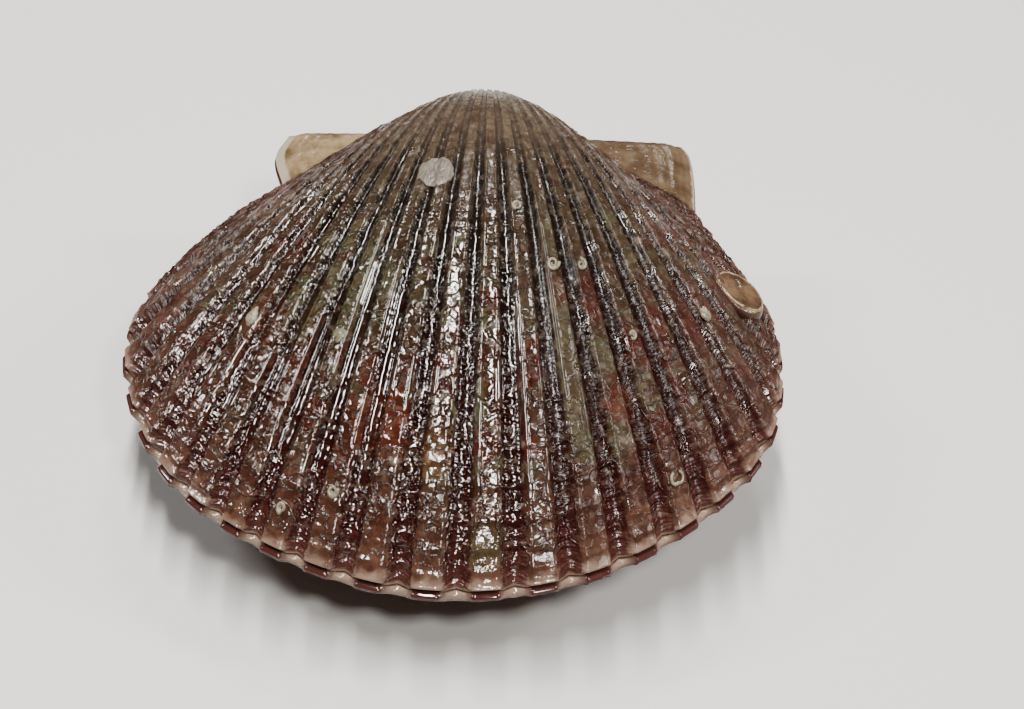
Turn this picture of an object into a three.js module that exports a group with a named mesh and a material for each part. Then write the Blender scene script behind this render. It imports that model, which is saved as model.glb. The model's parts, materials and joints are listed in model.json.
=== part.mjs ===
// A closed scallop shell lying on its lower valve: two ribbed valves, the ligament and the
// resilium of their hinge, and the small animals' tubes and crusts that grow on the upper valve.
//
// Sizes are in millimetres. The valves are made in their own frame: the origin is the middle of
// the hinge line, +X runs along the hinge, -Y towards the front margin, and +Z out of the upper
// valve. The valves meet at z = 0. The last groups lay the shell down as it rests.

import * as THREE from 'three';

// Outline of the upper valve's margin. The fan runs from the left ear round to the right ear.
const LEFT_EAR_POINTS = [[-26.3, -0.7], [-27.7, -4.6], [-26.4, -10.2]];
const RIGHT_EAR_POINTS = [[27.4, -13], [27.4, -6.5], [27, -2.2], [26.1, -0.6]];
const FAN_POINTS = [
  [-26.4, -10.2], [-35.4, -19.8], [-43.5, -38], [-35.4, -60.8], [-10.8, -75],
  [12.8, -72.6], [33.2, -54.8], [36.6, -34], [27.4, -13],
];
const LOWER_VALVE_SCALE = 1.006;
const LOBE_SCALE = 0.006;

// Each valve grows as a spiral: a point moves in to the beak as it turns about the hinge.
const COIL_UPPER = 0.68;
const COIL_LOWER = 0.55;
const GROWTH_ROWS = [1, 0.975, 0.9, 0.8, 0.68, 0.56, 0.44, 0.33, 0.23, 0.15, 0.09, 0.045];
const EAR_HEIGHT_FACTOR = 0.5;
const EAR_STEPS = 4;
const FLANK_STEPS = 3;
const FAN_CURVE_DIVISIONS = 1000;
const NORMAL_SPAN = 0.02;

// Radial ribs. Places on the fan are fractions of its length from the left ear.
const RIB_COUNT = 24;
const FIRST_RIB_PLACE = 0.1;
const RIB_PITCH = 0.0343;
const CROWDED_RIB = 10.3;
const CROWDING_WIDTH = 3.2;
const CROWDING_SHIFT = 0.012;
const RIB_HEIGHT = 1.3;
const CREST_HALF_WIDTH = 0.23;
const RIB_FLANK_WIDTH = 0.13;
const END_RIB_HEIGHT = 0.45;
const FULL_RIB_FROM_END = 3;

// Shell wall, rim and hinge plate.
const WALL = 1.2;
const RIM_THINNING = 0.45;
const DOME_THINNING = 0.93;
const VALVE_CLEARANCE = 0.4;
const MARGIN_WAVE = 1.1;
const LIP_RADIUS = 0.975;
const DOME_START_RADIUS = 0.9;
const WAVE_END_RADIUS = 0.6;
const PLATE_RADIUS = 0.08;
const CAVITY_RADIUS = 0.3;
const PLATE_REACH = 0.5;
const PIT_DEPTH = 0.9;
const PIT_SPREAD = 0.5;

// Hinge pieces.
const LIGAMENT_LENGTH = 40;
const LIGAMENT_WIDTH = 0.5;
const LIGAMENT_THICKNESS = 0.7;
const LIGAMENT_BACKSET = 0.35;
const RESILIUM_FRONT = -3.3;
const RESILIUM_BACK = -1.2;
const RESILIUM_SPREAD = 0.55;
const RESILIUM_THICKNESS = 1.4;

// How the shell lies: it tips forwards and a little sideways until it balances.
const REST_TILT = 0.1115;
const REST_ROLL = -0.03;

// Growths on the upper valve. A site is a rib, counted from 0 at the left ear, and a radius as
// a fraction of the margin's. Profiles are [radius, height]; lump sizes are width, length, height.
const CRUST_CLEARANCE = 0.3;
const CRUST_SIDES = 18;
const AMBER_CRUST_SITE = { rib: 22.1, radius: 0.853 };
const AMBER_CRUST_PROFILE = [
  [0, 0], [4.1, 0], [3.9, 0.3], [3.3, 0.55], [3.1, 0.9], [2.9, 0.6], [0, 0.7],
];
const GREY_CRUST_SITE = { rib: 10.6, radius: 0.417 };
const GREY_CRUST_PROFILE = [[0, 0], [2.1, 0], [2, 0.25], [0, 0.4]];
const WORM_COIL_RADIUS = 0.85;
const WORM_TUBE_RADIUS = 0.27;
const WORM_TUBE_SIDES = 6;
const WORM_COIL_SEGMENTS = 12;
const WORM_TUBE_SITES = [
  { rib: 14, radius: 0.476 }, { rib: 15, radius: 0.576 }, { rib: 16, radius: 0.588 },
  { rib: 17, radius: 0.72 }, { rib: 9, radius: 0.95 }, { rib: 10, radius: 0.907 },
];
const LUMP_SEGMENTS = 12;
const LUMP_RINGS = 7;
const LUMPS = [
  { name: 'white_lump', size: [1.9, 2.4, 0.8], site: { rib: 6, radius: 0.743 }, pale: true },
  { name: 'side_lump', size: [1.7, 1.9, 0.7], site: { rib: 19.8, radius: 0.768 }, pale: true },
  { name: 'green_lump', size: [1.8, 1.8, 0.8], site: { rib: 9, radius: 0.705 }, pale: false },
  { name: 'margin_crust', size: [2.4, 2, 0.6], site: { rib: 17, radius: 0.936 }, pale: true },
];

const shellBrown = new THREE.MeshStandardMaterial({ color: 0x6b4a40, roughness: 0.35, metalness: 0 });
const shellPale = new THREE.MeshStandardMaterial({ color: 0xb39b8a, roughness: 0.4, metalness: 0 });
const ligamentBrown = new THREE.MeshStandardMaterial({ color: 0x3a2216, roughness: 0.5, metalness: 0 });
const resiliumBlack = new THREE.MeshStandardMaterial({ color: 0x1c1410, roughness: 0.4, metalness: 0 });
const crustAmber = new THREE.MeshStandardMaterial({ color: 0x9c7434, roughness: 0.4, metalness: 0 });
const crustGrey = new THREE.MeshStandardMaterial({ color: 0xa59c8c, roughness: 0.6, metalness: 0 });
const tubeChalk = new THREE.MeshStandardMaterial({ color: 0xd9d3c4, roughness: 0.6, metalness: 0 });

function smoothstep(value, start, end) {
  return THREE.MathUtils.smoothstep(value, start, end);
}

// Curve through outline points, in the plane where the valves meet.
function outlineCurve(points) {
  const corners = points.map(([x, y]) => new THREE.Vector3(x, y, 0));
  return new THREE.CatmullRomCurve3(corners, false, 'centripetal');
}

const fanCurve = outlineCurve(FAN_POINTS);
fanCurve.arcLengthDivisions = FAN_CURVE_DIVISIONS;

// Place of a rib's crest on the fan. The ribs left of the middle crowd towards the left ear.
function ribPlace(rib) {
  const crowding = Math.exp(-(((rib - CROWDED_RIB) / CROWDING_WIDTH) ** 2));
  return FIRST_RIB_PLACE + RIB_PITCH * rib - CROWDING_SHIFT * crowding;
}

// Rib strength, lower on the first and last ribs beside the ears.
function ribStrength(rib) {
  const fromEnd = Math.min(rib, RIB_COUNT - 1 - rib);
  return THREE.MathUtils.lerp(END_RIB_HEIGHT, 1, smoothstep(fromEnd, 0, FULL_RIB_FROM_END));
}

// Columns of the shell mesh, from the left end of the hinge round to its right end. A column's
// relief is +0.5 on a rib's crest, -0.5 in an interspace and 0 on the ears and bare flanks.
function shellColumns() {
  const columns = [];
  const leftEar = outlineCurve(LEFT_EAR_POINTS);
  const rightEar = outlineCurve(RIGHT_EAR_POINTS);
  for (let step = 0; step < EAR_STEPS; step += 1) {
    columns.push({ point: leftEar.getPointAt(step / EAR_STEPS), relief: 0, ear: true });
  }
  const crestEdge = CREST_HALF_WIDTH;
  const ribFoot = CREST_HALF_WIDTH + RIB_FLANK_WIDTH;
  const ribsStart = ribPlace(0) - ribFoot * RIB_PITCH;
  const ribSection = [[-ribFoot, -0.5], [-crestEdge, 0.5], [crestEdge, 0.5], [ribFoot, -0.5]];
  for (let step = 0; step < FLANK_STEPS; step += 1) {
    const place = (ribsStart * step) / FLANK_STEPS;
    columns.push({ point: fanCurve.getPointAt(place), relief: 0, ear: false });
  }
  for (let rib = 0; rib < RIB_COUNT; rib += 1) {
    const strength = ribStrength(rib);
    for (const [offset, relief] of ribSection) {
      const place = ribPlace(rib) + offset * RIB_PITCH;
      columns.push({ point: fanCurve.getPointAt(place), relief: relief * strength, ear: false });
    }
  }
  const ribsEnd = ribPlace(RIB_COUNT - 1) + ribFoot * RIB_PITCH;
  for (let step = 1; step <= FLANK_STEPS; step += 1) {
    const place = THREE.MathUtils.lerp(ribsEnd, 1, step / FLANK_STEPS);
    columns.push({ point: fanCurve.getPointAt(place), relief: 0, ear: false });
  }
  for (let step = 1; step <= EAR_STEPS; step += 1) {
    columns.push({ point: rightEar.getPointAt(step / EAR_STEPS), relief: 0, ear: true });
  }
  return columns;
}

// Point of the smooth growth surface: the outline point shrunk to a radius and turned up.
function growthPoint(outlinePoint, radius, coil, heightFactor) {
  const turn = coil * Math.log(1 / radius);
  const reach = -outlinePoint.y * radius;
  return new THREE.Vector3(
    outlinePoint.x * radius,
    -reach * Math.cos(turn),
    reach * Math.sin(turn) * heightFactor,
  );
}

// Outward normal of the growth surface at a column, from its neighbours along and across.
function growthNormal(before, after, point, radius, coil) {
  const across = growthPoint(after, radius, coil, 1).sub(growthPoint(before, radius, coil, 1));
  const outerPoint = growthPoint(point, radius * (1 + NORMAL_SPAN), coil, 1);
  const inwards = growthPoint(point, radius * (1 - NORMAL_SPAN), coil, 1).sub(outerPoint);
  return across.cross(inwards).normalize();
}

// Thickness of a valve's wall, which thins out towards the margin.
function wallThickness(radius) {
  return WALL * (1 - RIM_THINNING * smoothstep(radius, DOME_START_RADIUS, 1));
}

// Outer side of the wall: the growth surface with its ribs, one wall above the meeting plane.
// Side is 1 on the upper valve. On the lower one, -1, crests and interspaces change places.
function outerRow(columns, radius, coil, side) {
  return columns.map((column, place) => {
    const heightFactor = column.ear ? EAR_HEIGHT_FACTOR : 1;
    const point = growthPoint(column.point, radius, coil, heightFactor);
    const before = columns[Math.max(place - 1, 0)].point;
    const after = columns[Math.min(place + 1, columns.length - 1)].point;
    const normal = growthNormal(before, after, column.point, radius, coil);
    if (side < 0) normal.set(0, 0, 1);
    point.addScaledVector(normal, side * column.relief * RIB_HEIGHT * radius);
    point.z += wallThickness(radius);
    return point;
  });
}

// Inner side of the wall: a lip at the margin, the dome over the cavity, and the flat hinge
// plate, which has a three-cornered pit for the resilium under the beak. Both valves' lips
// follow one wave, so that they close on each other.
function innerRow(columns, radius, coil, side) {
  return columns.map((column) => {
    const turn = coil * Math.log(1 / radius);
    const reach = -column.point.y * radius;
    const open = smoothstep(radius, PLATE_RADIUS, CAVITY_RADIUS);
    const domed = 1 - smoothstep(radius, DOME_START_RADIUS, LIP_RADIUS);
    const heightFactor = column.ear ? EAR_HEIGHT_FACTOR : 1;
    const dome = DOME_THINNING * reach * Math.sin(turn) * heightFactor * open * domed;
    const wave = side * MARGIN_WAVE * column.relief * smoothstep(radius, WAVE_END_RADIUS, 1);
    const inPit = Math.abs(column.point.x / column.point.y) < PIT_SPREAD;
    const pit = inPit ? PIT_DEPTH * (1 - open) : 0;
    return new THREE.Vector3(
      column.point.x * radius,
      -reach * THREE.MathUtils.lerp(PLATE_REACH, Math.cos(turn), open),
      VALVE_CLEARANCE / 2 + dome + wave + pit,
    );
  });
}

// Closed solid between two sheets of points that have the same rows and columns.
function solidBetween(outer, inner, mirrored) {
  const rowCount = outer.length;
  const columnCount = outer[0].length;
  const positions = [];
  for (const sheet of [outer, inner]) {
    for (const row of sheet) {
      for (const point of row) {
        positions.push(point.x, point.y, mirrored ? -point.z : point.z);
      }
    }
  }
  const faces = [];
  const vertex = (sheet, row, column) => (sheet * rowCount + row) * columnCount + column;
  const addQuad = (a, b, c, d) => {
    const corners = mirrored ? [a, c, b, a, d, c] : [a, b, c, a, c, d];
    faces.push(...corners);
  };
  for (let row = 0; row < rowCount - 1; row += 1) {
    for (let column = 0; column < columnCount - 1; column += 1) {
      addQuad(
        vertex(0, row, column), vertex(0, row, column + 1),
        vertex(0, row + 1, column + 1), vertex(0, row + 1, column),
      );
      addQuad(
        vertex(1, row, column), vertex(1, row + 1, column),
        vertex(1, row + 1, column + 1), vertex(1, row, column + 1),
      );
    }
  }
  const edge = [];
  for (let column = 0; column < columnCount - 1; column += 1) edge.push([0, column]);
  for (let row = 0; row < rowCount - 1; row += 1) edge.push([row, columnCount - 1]);
  for (let column = columnCount - 1; column > 0; column -= 1) edge.push([rowCount - 1, column]);
  for (let row = rowCount - 1; row > 0; row -= 1) edge.push([row, 0]);
  edge.forEach(([row, column], place) => {
    const [nextRow, nextColumn] = edge[(place + 1) % edge.length];
    addQuad(
      vertex(0, nextRow, nextColumn), vertex(0, row, column),
      vertex(1, row, column), vertex(1, nextRow, nextColumn),
    );
  });
  const geometry = new THREE.BufferGeometry();
  geometry.setAttribute('position', new THREE.Float32BufferAttribute(positions, 3));
  geometry.setIndex(faces);
  return geometry;
}

function namedMesh(name, geometry, material) {
  const mesh = new THREE.Mesh(geometry, material);
  mesh.name = name;
  return mesh;
}

// Upper valve, whose ribs end on the margin's crests.
function upperValve() {
  const columns = shellColumns();
  const outer = GROWTH_ROWS.map((radius) => outerRow(columns, radius, COIL_UPPER, 1));
  const inner = GROWTH_ROWS.map((radius) => innerRow(columns, radius, COIL_UPPER, 1));
  return namedMesh('upper_valve', solidBetween(outer, inner, false), shellBrown);
}

// Lower valve: a little larger and flatter, with its ribs under the upper valve's interspaces.
// Its margin bulges a little under each upper rib, and its ribs stand straight down.
function lowerValve() {
  const columns = shellColumns().map(({ point, relief, ear }) => ({
    point: point.clone().multiplyScalar(LOWER_VALVE_SCALE + LOBE_SCALE * relief),
    relief,
    ear,
  }));
  const outer = GROWTH_ROWS.map((radius) => outerRow(columns, radius, COIL_LOWER, -1));
  const inner = GROWTH_ROWS.map((radius) => innerRow(columns, radius, COIL_LOWER, -1));
  return namedMesh('lower_valve', solidBetween(outer, inner, true), shellPale);
}

// Thin outer strip along the hinge line, behind the ears, where the valves are joined.
function hingeLigament() {
  const geometry = new THREE.BoxGeometry(LIGAMENT_LENGTH, LIGAMENT_WIDTH, LIGAMENT_THICKNESS);
  geometry.translate(0, LIGAMENT_BACKSET + LIGAMENT_WIDTH / 2, 0);
  return namedMesh('hinge_ligament', geometry, ligamentBrown);
}

// Elastic pad in the three-cornered pits under the beaks.
function resilium() {
  const outline = new THREE.Shape([
    new THREE.Vector2(RESILIUM_BACK * RESILIUM_SPREAD, RESILIUM_BACK),
    new THREE.Vector2(RESILIUM_FRONT * RESILIUM_SPREAD, RESILIUM_FRONT),
    new THREE.Vector2(-RESILIUM_FRONT * RESILIUM_SPREAD, RESILIUM_FRONT),
    new THREE.Vector2(-RESILIUM_BACK * RESILIUM_SPREAD, RESILIUM_BACK),
  ]);
  const geometry = new THREE.ExtrudeGeometry(outline, { depth: RESILIUM_THICKNESS, bevelEnabled: false });
  geometry.translate(0, 0, -RESILIUM_THICKNESS / 2);
  return namedMesh('resilium', geometry, resiliumBlack);
}

// Stands a growth on the upper valve: its own +Z points out of the shell, and its base is just
// clear of the rib crests at the given rib and radius.
function placeOnUpperValve(growth, { rib, radius }) {
  const place = ribPlace(rib);
  const point = fanCurve.getPointAt(place);
  const before = fanCurve.getPointAt(place - RIB_PITCH);
  const after = fanCurve.getPointAt(place + RIB_PITCH);
  const normal = growthNormal(before, after, point, radius, COIL_UPPER);
  const crestLevel = growthPoint(point, radius, COIL_UPPER, 1);
  crestLevel.addScaledVector(normal, (RIB_HEIGHT * radius) / 2 + CRUST_CLEARANCE);
  crestLevel.z += wallThickness(radius);
  growth.position.copy(crestLevel);
  growth.quaternion.setFromUnitVectors(new THREE.Vector3(0, 0, 1), normal);
  return growth;
}

// Round crust whose profile is turned about its own +Z.
function turnedCrust(name, profile, material) {
  const corners = profile.map(([radius, height]) => new THREE.Vector2(radius, height));
  const geometry = new THREE.LatheGeometry(corners, CRUST_SIDES);
  geometry.rotateX(Math.PI / 2);
  return namedMesh(name, geometry, material);
}

// Coiled chalky tube of a small worm, as a plain ring.
function wormTube(name) {
  const ringRadius = WORM_COIL_RADIUS - WORM_TUBE_RADIUS;
  const geometry = new THREE.TorusGeometry(
    ringRadius, WORM_TUBE_RADIUS, WORM_TUBE_SIDES, WORM_COIL_SEGMENTS,
  );
  geometry.translate(0, 0, WORM_TUBE_RADIUS);
  return namedMesh(name, geometry, tubeChalk);
}

// Rounded lump, wide and low, with its lowest point at its base.
function lump(name, [width, length, height], material) {
  const geometry = new THREE.SphereGeometry(1, LUMP_SEGMENTS, LUMP_RINGS);
  geometry.scale(width / 2, length / 2, height / 2);
  geometry.translate(0, 0, height / 2);
  return namedMesh(name, geometry, material);
}

const upper = new THREE.Group();
upper.add(upperValve());
const amberCrust = turnedCrust('amber_ring_crust', AMBER_CRUST_PROFILE, crustAmber);
const greyCrust = turnedCrust('grey_crust_patch', GREY_CRUST_PROFILE, crustGrey);
upper.add(placeOnUpperValve(amberCrust, AMBER_CRUST_SITE));
upper.add(placeOnUpperValve(greyCrust, GREY_CRUST_SITE));
WORM_TUBE_SITES.forEach((site, count) => {
  upper.add(placeOnUpperValve(wormTube(`worm_tube_${count + 1}`), site));
});
LUMPS.forEach(({ name, size, site, pale }) => {
  upper.add(placeOnUpperValve(lump(name, size, pale ? tubeChalk : crustGrey), site));
});

const valves = new THREE.Group();
valves.add(upper, lowerValve(), hingeLigament(), resilium());
valves.rotation.set(REST_TILT, REST_ROLL, 0);

// The whole shell stands with the middle of its box over the origin and its lowest point at 0.
const scallop = new THREE.Group();
scallop.add(valves);
scallop.updateMatrixWorld(true);
const box = new THREE.Box3().setFromObject(scallop, true);
scallop.position.set(-(box.min.x + box.max.x) / 2, -(box.min.y + box.max.y) / 2, -box.min.z);
scallop.updateMatrixWorld(true);

export default scallop;
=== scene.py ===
# A closed scallop, wet, lying on its lower valve. Everything is in metres, in the CAD frame:
# +X along the hinge, -Y towards the front margin, +Z up.
import json
import math
import bpy
import numpy as np
from mathutils import Matrix, Vector


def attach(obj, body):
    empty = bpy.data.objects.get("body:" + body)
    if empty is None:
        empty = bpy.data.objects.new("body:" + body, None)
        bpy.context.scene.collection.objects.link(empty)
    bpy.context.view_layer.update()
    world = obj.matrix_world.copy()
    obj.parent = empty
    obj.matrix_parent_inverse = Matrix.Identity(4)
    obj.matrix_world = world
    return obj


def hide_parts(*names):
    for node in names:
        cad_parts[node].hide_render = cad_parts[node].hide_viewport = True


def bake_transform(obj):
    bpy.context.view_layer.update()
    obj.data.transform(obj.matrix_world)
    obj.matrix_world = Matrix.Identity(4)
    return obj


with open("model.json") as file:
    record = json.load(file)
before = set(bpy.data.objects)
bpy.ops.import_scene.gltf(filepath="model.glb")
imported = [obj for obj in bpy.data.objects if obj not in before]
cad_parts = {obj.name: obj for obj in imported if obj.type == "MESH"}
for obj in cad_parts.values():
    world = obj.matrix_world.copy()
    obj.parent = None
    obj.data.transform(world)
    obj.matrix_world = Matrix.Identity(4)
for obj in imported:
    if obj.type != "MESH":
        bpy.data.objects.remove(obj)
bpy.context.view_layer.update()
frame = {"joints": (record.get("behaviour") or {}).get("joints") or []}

MM = 0.001

# ------------------------------------------------------------------ floor, light and camera
# A plain pale table. The lamps are small and bright, so that each wet bead on the shell gives
# its own sharp glint, and the sky is dim, so that the furrows between the ribs stay dark.
FLOOR_SIZE = 3.0
FLOOR_HEIGHT = -0.0004
FLOOR_COLOUR = (0.42, 0.413, 0.40, 1)
SKY_COLOUR = (0.92, 0.96, 1.0, 1)
SKY_STRENGTH = 0.03
CAMERA_PLACE = Vector((-6.5, -251.5, 234.7)) * MM
CAMERA_AIM = Vector((7.3, 3.2, 11.8)) * MM
CAMERA_ROLL = math.radians(4.82)
CAMERA_LENS = 94.6
LAMP_AIM = (0, 0, 0.015)
LAMPS = [
    # name, place, width, height, watts, roll in degrees, colour
    ("strip_lamp", (-0.05, 0.0, 0.60), 0.035, 0.52, 11.0, 90, (1.0, 0.99, 0.96)),
    ("left_lamp", (-0.42, 0.05, 0.42), 0.05, 0.12, 1.6, 0, (1.0, 1.0, 1.0)),
    ("front_lamp", (0.16, -0.42, 0.60), 0.10, 0.10, 5.0, 0, (1.0, 0.97, 0.93)),
    ("back_lamp", (0.05, 0.42, 0.52), 0.08, 0.08, 1.6, 0, (1.0, 0.99, 0.96)),
    ("right_lamp", (0.45, 0.02, 0.36), 0.05, 0.12, 1.8, 0, (1.0, 1.0, 1.0)),
]


def clear_selection():
    bpy.ops.object.select_all(action="DESELECT")


def choose(piece):
    """Makes a piece the only selected one, and the active one."""
    clear_selection()
    piece.select_set(True)
    bpy.context.view_layer.objects.active = piece


def put(tree, kind, settings=None, **inputs):
    """Adds a shader node. An input's name has _ for each space, and takes a value or a socket."""
    node = tree.nodes.new(kind)
    for name, value in (settings or {}).items():
        setattr(node, name, value)
    for name, value in inputs.items():
        feed(tree, node.inputs[name.replace("_", " ")], value)
    return node


def feed(tree, socket, value):
    """Links a socket to an input, or sets the input to a value."""
    if isinstance(value, bpy.types.NodeSocket):
        tree.links.new(value, socket)
    else:
        socket.default_value = value


def aim(thing, target, roll=0.0):
    """Points a lamp's or a camera's -Z at a target, turned about its own axis by roll."""
    turn = (Vector(target) - thing.location).to_track_quat("-Z", "Y")
    thing.rotation_euler = (turn.to_matrix() @ Matrix.Rotation(roll, 3, "Z")).to_euler()


clear_selection()
bpy.ops.mesh.primitive_plane_add(size=FLOOR_SIZE)
floor = bpy.context.object
floor.name = "floor"
floor.data.transform(Matrix.Translation((0, 0, FLOOR_HEIGHT)))
floor_paint = bpy.data.materials.new("pale_floor")
floor_paint.use_nodes = True
floor_shader = floor_paint.node_tree.nodes["Principled BSDF"]
floor_shader.inputs["Base Color"].default_value = FLOOR_COLOUR
floor_shader.inputs["Roughness"].default_value = 0.7
floor.data.materials.append(floor_paint)

world = bpy.data.worlds.new("studio")
bpy.context.scene.world = world
world.use_nodes = True
world.node_tree.nodes["Background"].inputs["Color"].default_value = SKY_COLOUR
world.node_tree.nodes["Background"].inputs["Strength"].default_value = SKY_STRENGTH

for name, place, width, height, watts, roll, colour in LAMPS:
    bpy.ops.object.light_add(type="AREA", location=place)
    lamp = bpy.context.object
    lamp.name = name
    lamp.data.shape = "RECTANGLE"
    lamp.data.size = width
    lamp.data.size_y = height
    lamp.data.energy = watts
    lamp.data.color = colour
    aim(lamp, LAMP_AIM, math.radians(roll))

bpy.ops.object.camera_add(location=CAMERA_PLACE)
camera = bpy.context.object
camera.data.lens = CAMERA_LENS
aim(camera, CAMERA_AIM, CAMERA_ROLL)
bpy.context.scene.camera = camera

# ------------------------------------------------------------------ upper valve, shape
# The upper half of the shell: one piece of layered calcite, about 1.2 mm thick. It grew at its
# margin, so each of its points is a point of the outline, shrunk and turned in to the beak.
LEFT_EAR = [(-26.3, -0.7), (-27.7, -4.6), (-26.4, -10.2)]
RIGHT_EAR = [(27.4, -13), (27.4, -6.5), (27, -2.2), (26.1, -0.6)]
FAN = [
    (-26.4, -10.2), (-35.4, -19.8), (-43.5, -38), (-35.4, -60.8), (-10.8, -75),
    (12.8, -72.6), (33.2, -54.8), (36.6, -34), (27.4, -13),
]
REST_TILT = 0.1115
REST_ROLL = -0.03
COIL_UPPER = 0.68
EAR_HEIGHT_FACTOR = 0.5
RIB_COUNT = 24
FIRST_RIB_PLACE = 0.1
RIB_PITCH = 0.0343
CROWDED_RIB = 10.3
CROWDING_WIDTH = 3.2
CROWDING_SHIFT = 0.012
RIB_HEIGHT = 1.3
CREST_HALF_WIDTH = 0.21
RIB_FOOT = 0.37
END_RIB_HEIGHT = 0.45
FULL_RIB_FROM_END = 3
WALL = 1.2
RIM_THINNING = 0.5
DOME_THINNING = 0.93
VALVE_CLEARANCE = 0.2
MARGIN_WAVE = 1.1
ARCH_OFFSETS = (0.47, 0.2)
LIP_RADIUS = 0.975
DOME_START_RADIUS = 0.9
WAVE_END_RADIUS = 0.6
PLATE_RADIUS = 0.08
CAVITY_RADIUS = 0.3
PLATE_REACH = 0.5
PIT_DEPTH = 0.9
PIT_SPREAD = 0.5
BEAK_RADIUS = 0.045
# Columns to each side of a rib's middle, in rib pitches, and columns and rows elsewhere.
RIB_STEPS = (0.09, 0.17, 0.22, 0.29, 0.38)
EAR_COLUMNS = 14
FLANK_COLUMNS = 27
OUTER_ROWS = 233
INNER_ROWS = 26
RIM_ROWS = 3
CURVE_STEPS = 80
LATTICE = (97, 389)
# Surface relief in millimetres, and how many of each repeat lies between beak and margin.
FLANK_RIBLETS = 2.4
RIBLET_HEIGHT = 0.5
RUNGS = 66
RUNG_HEIGHT = 0.3
PLATES = 27
PLATE_HEIGHT = 0.18
EDGE_BEAD_HEIGHT = 0.2
BEAD_HEIGHT = 0.16
EAR_LINES = 17
EAR_LINE_HEIGHT = 0.025
GROWTH_STOPS = (0.31, 0.37, 0.45, 0.52, 0.585, 0.65, 0.71, 0.765, 0.82, 0.872, 0.918, 0.953, 0.979)
STOP_WIDTH = 0.004
STOP_HEIGHT = 0.22
# Where water stands in threads: first and last rib, and the radii between which it lies.
FILM_HEIGHT = 0.14
CREST_FILM_OFFSET = 0.24
CREST_FILM_WIDTH = 0.09
FURROW_FILM_WIDTH = 0.11
FILM_RIBS = (4.4, 15.6)
FILM_RADII = (0.48, 0.88)
FURROW_FILM_RIBS = (5.2, 10.8)
FURROW_FILM_RADII = (0.63, 0.87)

hinge = frame["joints"][0]
hinge_place = Vector(hinge["pos_m"])
rest_turn = Matrix.Rotation(REST_TILT, 3, "X") @ Matrix.Rotation(REST_ROLL, 3, "Y")


def smooth(value, start, end):
    """Smooth step from 0 at start to 1 at end."""
    t = np.clip((np.asarray(value, float) - start) / (end - start), 0, 1)
    return t * t * (3 - 2 * t)


def patchy(u, v, seed):
    """Smooth seeded noise from -1 to 1, with one lattice cell to each unit of u and v."""
    u, v = np.broadcast_arrays(np.asarray(u, float), np.asarray(v, float))
    lattice = np.random.default_rng(seed).uniform(-1, 1, LATTICE)
    column, row = np.floor(u).astype(int), np.floor(v).astype(int)
    along, up = smooth(u - column, 0, 1), smooth(v - row, 0, 1)
    value = 0
    for step in (0, 1):
        for rise in (0, 1):
            share = (along if step else 1 - along) * (up if rise else 1 - up)
            value = value + share * lattice[(column + step) % LATTICE[0], (row + rise) % LATTICE[1]]
    return value


def outline_points(corners, places):
    """Points on a smooth curve through the corners, at fractions of its length."""
    p = np.array(corners, float)
    p = np.vstack([2 * p[0] - p[1], p, 2 * p[-1] - p[-2]])
    fine = []
    for a, b, c, d in zip(p, p[1:], p[2:], p[3:]):
        knots = np.cumsum([0] + [np.linalg.norm(q) ** 0.5 for q in (b - a, c - b, d - c)])
        t = np.linspace(knots[1], knots[2], CURVE_STEPS)[:, None]
        k0, k1, k2, k3 = knots
        ab = ((k1 - t) * a + (t - k0) * b) / (k1 - k0)
        bc = ((k2 - t) * b + (t - k1) * c) / (k2 - k1)
        cd = ((k3 - t) * c + (t - k2) * d) / (k3 - k2)
        abc = ((k2 - t) * ab + (t - k0) * bc) / (k2 - k0)
        bcd = ((k3 - t) * bc + (t - k1) * cd) / (k3 - k1)
        fine.append(((k2 - t) * abc + (t - k1) * bcd) / (k2 - k1))
    fine = np.vstack(fine)
    length = np.r_[0, np.cumsum(np.linalg.norm(np.diff(fine, axis=0), axis=1))]
    length /= length[-1]
    return np.stack([np.interp(places, length, fine[:, axis]) for axis in (0, 1)], -1)


def rib_place(rib):
    """Place of a rib's crest on the fan, as a fraction of its length from the left ear."""
    crowding = np.exp(-(((rib - CROWDED_RIB) / CROWDING_WIDTH) ** 2))
    return FIRST_RIB_PLACE + RIB_PITCH * rib - CROWDING_SHIFT * crowding


def rib_strength(rib):
    """Height of the ribs, lower beside the ears and nothing beyond the first and last rib."""
    from_end = np.minimum(rib, RIB_COUNT - 1 - rib)
    strength = END_RIB_HEIGHT + (1 - END_RIB_HEIGHT) * smooth(from_end, 0, FULL_RIB_FROM_END)
    return strength * smooth(from_end, -0.9, -0.3)


def shell_columns():
    """The columns of a valve's mesh, from the hinge's left end round to its right end: outline
    point, rib number (whole on a crest) and ear factor."""
    ear_steps = np.arange(EAR_COLUMNS) / EAR_COLUMNS
    offsets = sorted([-s for s in RIB_STEPS] + [0] + list(RIB_STEPS) + [0.5])
    ribs = np.r_[-0.5, np.concatenate([rib + np.array(offsets) for rib in range(RIB_COUNT)])]
    flank_steps = np.arange(FLANK_COLUMNS) / FLANK_COLUMNS
    left_flank = rib_place(-0.5) * flank_steps
    right_flank = 1 - (1 - rib_place(RIB_COUNT - 0.5)) * flank_steps[::-1]
    fan_places = np.concatenate([left_flank, rib_place(ribs), right_flank])
    points = np.vstack([
        outline_points(LEFT_EAR, ear_steps),
        outline_points(FAN, fan_places),
        outline_points(RIGHT_EAR, 1 - ear_steps[::-1]),
    ])
    rib_numbers = np.concatenate([
        ear_steps * 3 - 6, flank_steps * 2.5 - 3, ribs,
        RIB_COUNT + 2 - 2.5 * flank_steps[::-1], RIB_COUNT + 5 - 3 * ear_steps[::-1],
    ])
    ear_fade = 1 - smooth(ear_steps, 0.86, 1)
    ears = np.concatenate([ear_fade, np.zeros(len(fan_places)), ear_fade[::-1]])
    return points, rib_numbers, ears


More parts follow.
